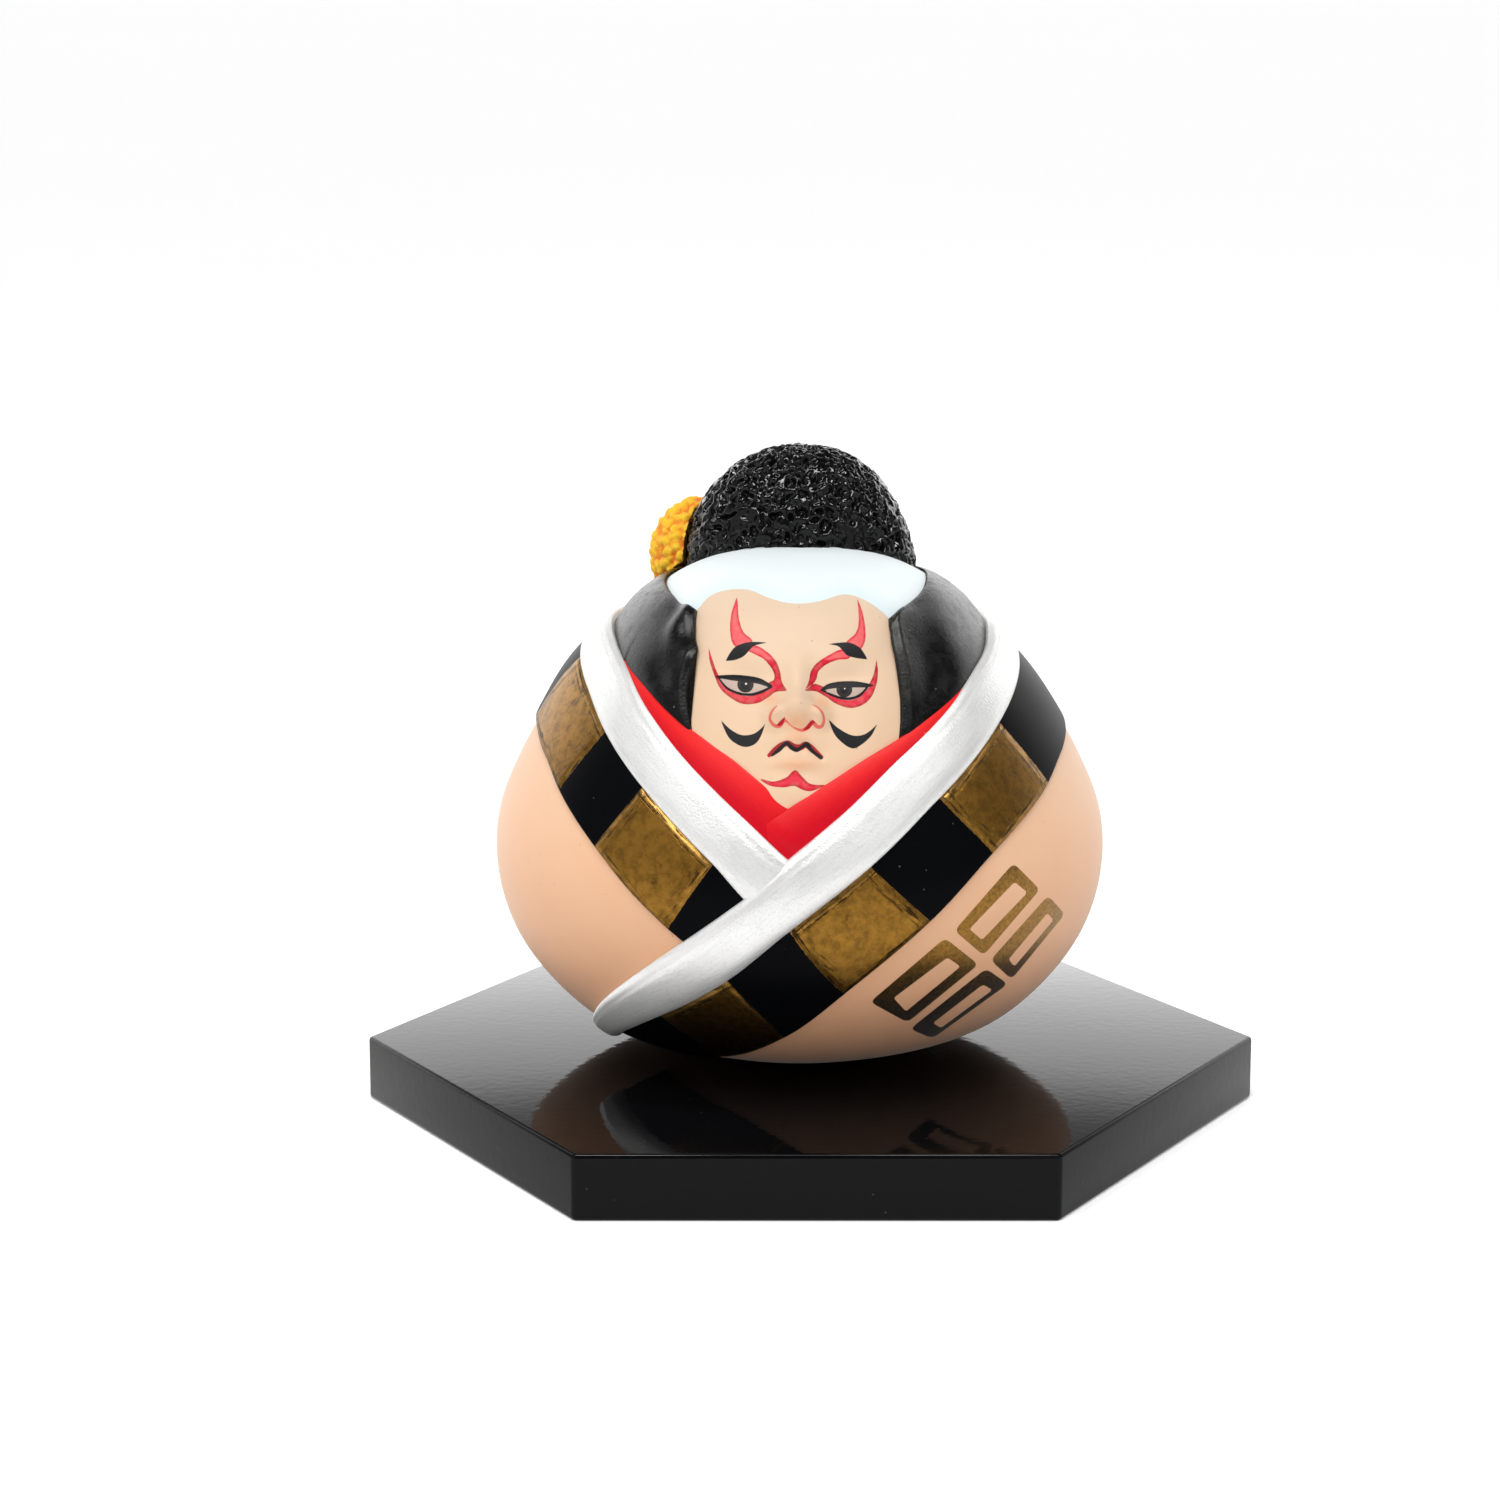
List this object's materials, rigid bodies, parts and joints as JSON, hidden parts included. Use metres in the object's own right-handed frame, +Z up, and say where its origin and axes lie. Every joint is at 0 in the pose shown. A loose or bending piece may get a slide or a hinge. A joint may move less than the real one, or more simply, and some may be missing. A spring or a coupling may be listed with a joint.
{
  "type": "hakata doll on a plinth",
  "caption": "Round painted clay doll of a footman in a wrapped robe with crossed collars, a rough black tuft and an orange knot, standing on a lacquered hexagonal plinth.",
  "frame": {"origin": "centre of the plinth's underside", "axes": "+Z up, -Y the way the doll faces, +X towards the doll's own left"},
  "size_m": [0.125, 0.1082, 0.0914],
  "materials": {
    "painted_clay": "matt paint over fired clay",
    "crepe": "crinkled crepe",
    "black_lacquer": "gloss black lacquer"
  },
  "bodies": {
    "root": {"figure": "painted_clay", "hair_ornament": "crepe", "plinth": "black_lacquer"}
  },
  "joints": []
}
